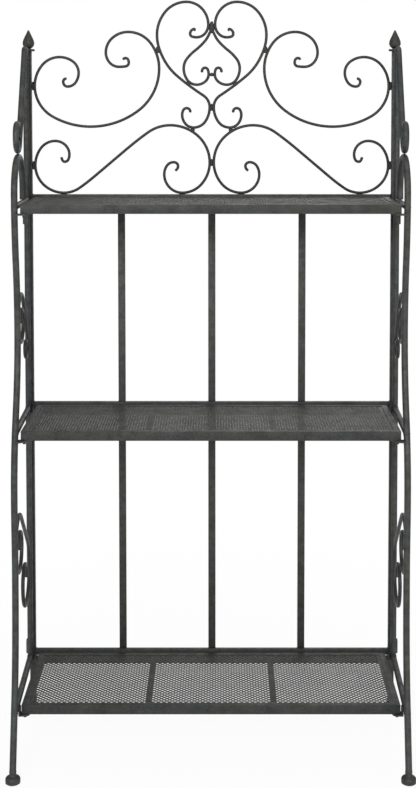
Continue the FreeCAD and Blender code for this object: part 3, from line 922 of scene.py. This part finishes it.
# Geometry Nodes: two crossed grids of the tile, joined to the border
def buildPerforation():
    tree, sockets, start, end = newModifierTree(
        "perforation",
        [("Border", "NodeSocketGeometry"), ("Tile", "NodeSocketObject"), ("Pitch", "NodeSocketFloat"),
         ("Columns", "NodeSocketInt"), ("Rows", "NodeSocketInt"), ("Middle", "NodeSocketVector"),
         ("Finish", "NodeSocketMaterial")],
        "Sheet")
    tile = tree.nodes.new("GeometryNodeObjectInfo")
    tree.links.new(start.outputs["Tile"], tile.inputs["Object"])
    join = tree.nodes.new("GeometryNodeJoinGeometry")
    tree.links.new(start.outputs["Border"], join.inputs[0])
    for fewer in (0, 1):
        grid = tree.nodes.new("GeometryNodeMeshGrid")
        for label, size, count in (("Columns", "Size X", "Vertices X"), ("Rows", "Size Y", "Vertices Y")):
            number = combine(tree, "SUBTRACT", start.outputs[label], float(fewer))
            gaps = combine(tree, "SUBTRACT", number, 1.0)
            length = combine(tree, "MULTIPLY", gaps, start.outputs["Pitch"])
            tree.links.new(number, grid.inputs[count])
            tree.links.new(length, grid.inputs[size])
        place = tree.nodes.new("GeometryNodeSetPosition")
        tree.links.new(grid.outputs["Mesh"], place.inputs["Geometry"])
        tree.links.new(start.outputs["Middle"], place.inputs["Offset"])
        copies = tree.nodes.new("GeometryNodeInstanceOnPoints")
        tree.links.new(place.outputs[0], copies.inputs["Points"])
        tree.links.new(tile.outputs["Geometry"], copies.inputs["Instance"])
        tree.links.new(copies.outputs[0], join.inputs[0])
    real = tree.nodes.new("GeometryNodeRealizeInstances")
    merge = addNode(tree, "GeometryNodeMergeByDistance", {"Distance": punchSettings["joined"]})
    paint = tree.nodes.new("GeometryNodeSetMaterial")
    tree.links.new(join.outputs[0], real.inputs[0])
    tree.links.new(real.outputs[0], merge.inputs["Geometry"])
    tree.links.new(merge.outputs[0], paint.inputs["Geometry"])
    tree.links.new(start.outputs["Finish"], paint.inputs["Material"])
    tree.links.new(paint.outputs[0], end.inputs[0])
    return tree, sockets


perforation, perforationSockets = buildPerforation()


def perforate(shelf):
    node = "shelf_sheet_" + shelf
    low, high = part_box(node)
    pitch = punchSettings["pitch"]
    least = 2 * punchSettings["leastMargin"]
    columns = int((high[0] - low[0] - least) / pitch)
    rows = int((high[1] - low[1] - least) / pitch)
    tile = linkPiece("tile_" + shelf, meshFrom("tile_" + shelf, buildTile(high[2] - low[2])), sheetIron)
    mesh = meshFrom("perforated_" + shelf, buildBorder(low, high, columns, rows))
    piece = linkPiece("perforated_" + shelf, mesh, sheetIron)
    middle = middleOf(node)
    addModifier(piece, "perforation", perforation, perforationSockets, {
        "Tile": tile, "Pitch": pitch, "Columns": columns, "Rows": rows,
        "Middle": (middle.x, middle.y, high[2]), "Finish": sheetIron})
    bake(piece, sheetIron)
    bpy.data.objects.remove(tile)
    work = bmesh.new()
    work.from_mesh(piece.data)
    bmesh.ops.recalc_face_normals(work, faces=work.faces[:])
    work.to_mesh(piece.data)
    work.free()
    settle(piece, node, "shelf_" + shelf)
    print("rack: sheet", shelf, columns, "by", rows, "tiles,", len(piece.data.polygons), "faces")


for shelf in shelves:
    perforate(shelf)


axisReach = 1e-6


# Turns an outline of (radius, height) about a standing axis
def buildTurned(outline, base, steps):
    def build(work):
        rings = []
        for radius, height in outline:
            if radius < axisReach:
                rings.append([work.verts.new((base.x, base.y, base.z + height))])
                continue
            ring = []
            for index in range(steps):
                angle = 2 * math.pi * index / steps
                ring.append(work.verts.new((base.x + radius * math.cos(angle),
                                            base.y + radius * math.sin(angle), base.z + height)))
            rings.append(ring)
        bridgeRings(work, rings, steps)

    return build


# A soft line through the outline's points
def softLine(points, steps):
    line = []
    for index in range(len(points) - 1):
        before = points[max(index - 1, 0)]
        start, end = points[index], points[index + 1]
        after = points[min(index + 2, len(points) - 1)]
        for step in range(steps):
            t = step / steps
            spot = []
            for a, b, c, d in zip(before, start, end, after):
                spot.append(0.5 * (2 * b + (c - a) * t + (2 * a - 5 * b + 4 * c - d) * t * t
                                   + (3 * b - a - 3 * c + d) * t ** 3))
            line.append((max(spot[0], 0.0), spot[1]))
    line.append(points[-1])
    return line


# A casting that is turned on top of a node's underside, and stands in for the node
def castPiece(name, node, outline, settings):
    mesh = meshFrom(name, buildTurned(outline, undersideOf(node), settings["steps"]))
    piece = linkPiece(name, mesh, frameIron)
    smooth(mesh, settings["smooth"])
    settle(piece, node, "rack_frame")


finialSettings = {
    "steps": 40, "collarSteps": 3, "budSteps": 5, "smooth": 50,
    "collar": [(0.0, 0.0), (0.0123, 0.0), (0.0132, 0.0007), (0.0134, 0.0022), (0.0132, 0.0038),
               (0.0123, 0.0045), (0.0070, 0.0046), (0.0058, 0.0052), (0.0056, 0.0062)],
    "bud": [(0.0056, 0.0064), (0.0088, 0.0084), (0.0116, 0.0122), (0.0126, 0.0172), (0.0114, 0.0232),
            (0.0085, 0.0300), (0.0052, 0.0368), (0.0026, 0.0424), (0.0010, 0.0450), (0.0, 0.0455)],
}


def buildFinial(label):
    node = "finial_" + label
    outline = softLine(finialSettings["collar"], finialSettings["collarSteps"])
    outline += softLine(finialSettings["bud"], finialSettings["budSteps"])
    castPiece("turned_" + node, node, outline, finialSettings)


footSettings = {
    "steps": 40, "outlineSteps": 4, "smooth": 55,
    "outline": [(0.0, -0.0022), (0.0136, -0.0022), (0.0145, -0.0012), (0.0149, 0.0014), (0.0149, 0.0048),
                (0.0144, 0.0074), (0.0127, 0.0095), (0.0104, 0.0110), (0.0086, 0.0122), (0.0075, 0.0136),
                (0.0069, 0.0158), (0.0067, 0.0220), (0.0, 0.0220)],
}


def buildFoot(label):
    node = "front_foot_" + label
    outline = softLine(footSettings["outline"], footSettings["outlineSteps"])
    castPiece("cast_" + node, node, outline, footSettings)


for label in sides:
    buildFinial(label)
    buildFoot(label)
print("rack: turned pieces built")


# Rods, tubes and crossbars keep their solids, and take their finish here
for node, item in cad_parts.items():
    for slot in item.material_slots:
        slot.material = scrollIron if "scroll" in node else tubeIron


stageSettings = {"floorColour": 0.86, "brightness": 1.0, "shadowShare": 0.06, "near": 0.45, "far": 1.6,
                 "halfWidth": 14.0}


# White to the camera, with a share of true floor near the rack that holds its shadow
def buildWhite(name):
    material = bpy.data.materials.new(name)
    material.use_nodes = True
    tree = material.node_tree
    tree.nodes.clear()
    out = tree.nodes.new("ShaderNodeOutputMaterial")
    shade = stageSettings["floorColour"]
    matte = addNode(tree, "ShaderNodeBsdfDiffuse", {"Color": colour(shade, shade, shade)})
    glow = addNode(tree, "ShaderNodeEmission", {"Strength": stageSettings["brightness"]})
    where = tree.nodes.new("ShaderNodeTexCoord")
    away = addNode(tree, "ShaderNodeVectorMath", operation="LENGTH")
    tree.links.new(where.outputs["Object"], away.inputs[0])
    white = remap(tree, away.outputs["Value"], stageSettings["near"], stageSettings["far"],
                  1.0 - stageSettings["shadowShare"], 1.0)
    path = tree.nodes.new("ShaderNodeLightPath")
    seen = combine(tree, "ADD", path.outputs["Is Camera Ray"], path.outputs["Is Glossy Ray"])
    seen = combine(tree, "ADD", seen, path.outputs["Is Transmission Ray"])
    seen = combine(tree, "MINIMUM", seen, 1.0)
    mix = tree.nodes.new("ShaderNodeMixShader")
    tree.links.new(combine(tree, "MULTIPLY", seen, white), mix.inputs[0])
    tree.links.new(matte.outputs[0], mix.inputs[1])
    tree.links.new(glow.outputs[0], mix.inputs[2])
    tree.links.new(mix.outputs[0], out.inputs[0])
    return material


def buildFloor():
    wide = stageSettings["halfWidth"]

    def build(work):
        corners = [(-wide, -wide, 0), (wide, -wide, 0), (wide, wide, 0), (-wide, wide, 0)]
        work.faces.new([work.verts.new(corner) for corner in corners])

    floor = linkPiece("floor", meshFrom("floor", build), buildWhite("floor_white"))


worldSettings = {"soft": 0.30, "tone": colour(0.98, 0.99, 1.0)}


def buildWorld():
    world = bpy.data.worlds.new("studio")
    bpy.context.scene.world = world
    world.use_nodes = True
    tree = world.node_tree
    tree.nodes.clear()
    out = tree.nodes.new("ShaderNodeOutputWorld")
    soft = addNode(tree, "ShaderNodeBackground", {"Color": worldSettings["tone"],
                                                  "Strength": worldSettings["soft"]})
    white = addNode(tree, "ShaderNodeBackground", {"Color": colour(1, 1, 1), "Strength": 1.0})
    path = tree.nodes.new("ShaderNodeLightPath")
    mix = tree.nodes.new("ShaderNodeMixShader")
    tree.links.new(path.outputs["Is Camera Ray"], mix.inputs[0])
    tree.links.new(soft.outputs[0], mix.inputs[1])
    tree.links.new(white.outputs[0], mix.inputs[2])
    tree.links.new(mix.outputs[0], out.inputs[0])


lamps = {
    "key": {"place": (-0.9, -4.2, 2.5), "aim": (0, 0, 0.8), "size": 1.6, "power": 135},
    "fill": {"place": (2.6, -3.2, 1.6), "aim": (0, 0, 0.7), "size": 2.0, "power": 45},
    "top": {"place": (0.2, 0.4, 4.2), "aim": (0, 0, 0.8), "size": 2.8, "power": 40},
    "back": {"place": (0.6, 3.4, 2.4), "aim": (0, 0, 0.9), "size": 2.4, "power": 30},
}


def buildLamps():
    for name, settings in lamps.items():
        light = bpy.data.lights.new(name, "AREA")
        light.shape = "SQUARE"
        light.size = settings["size"]
        light.energy = settings["power"]
        lamp = bpy.data.objects.new(name, light)
        bpy.context.scene.collection.objects.link(lamp)
        lamp.location = settings["place"]
        away = Vector(settings["aim"]) - Vector(settings["place"])
        lamp.rotation_euler = away.to_track_quat("-Z", "Y").to_euler()


# Focal length, axis and image size are in pixels, places in metres, the sensor in millimetres
cameraSettings = {"focal": 1408.0, "axisColumn": 221.3, "axisRow": 187.0,
                  "imageWidth": 416.0, "imageHeight": 788.0, "sensor": 36.0,
                  "distance": 3.050, "height": 1.335, "across": 0.0207, "downward": 3.31, "farthest": 100.0}


def buildCamera():
    view = cameraSettings
    data = bpy.data.cameras.new("camera")
    data.sensor_fit = "AUTO"
    data.sensor_width = view["sensor"]
    data.lens = view["focal"] / view["imageHeight"] * data.sensor_width
    data.shift_x = (view["imageWidth"] / 2 - view["axisColumn"]) / view["imageHeight"]
    data.shift_y = (view["axisRow"] - view["imageHeight"] / 2) / view["imageHeight"]
    data.clip_end = view["farthest"]
    camera = bpy.data.objects.new("camera", data)
    bpy.context.scene.collection.objects.link(camera)
    camera.location = (view["across"], postY - view["distance"], view["height"])
    camera.rotation_euler = (math.pi / 2 - math.radians(view["downward"]), 0, 0)
    bpy.context.scene.camera = camera


buildFloor()
buildWorld()
buildLamps()
buildCamera()
bpy.context.scene.view_settings.view_transform = "Standard"
print("rack: stage, lamps and camera set")
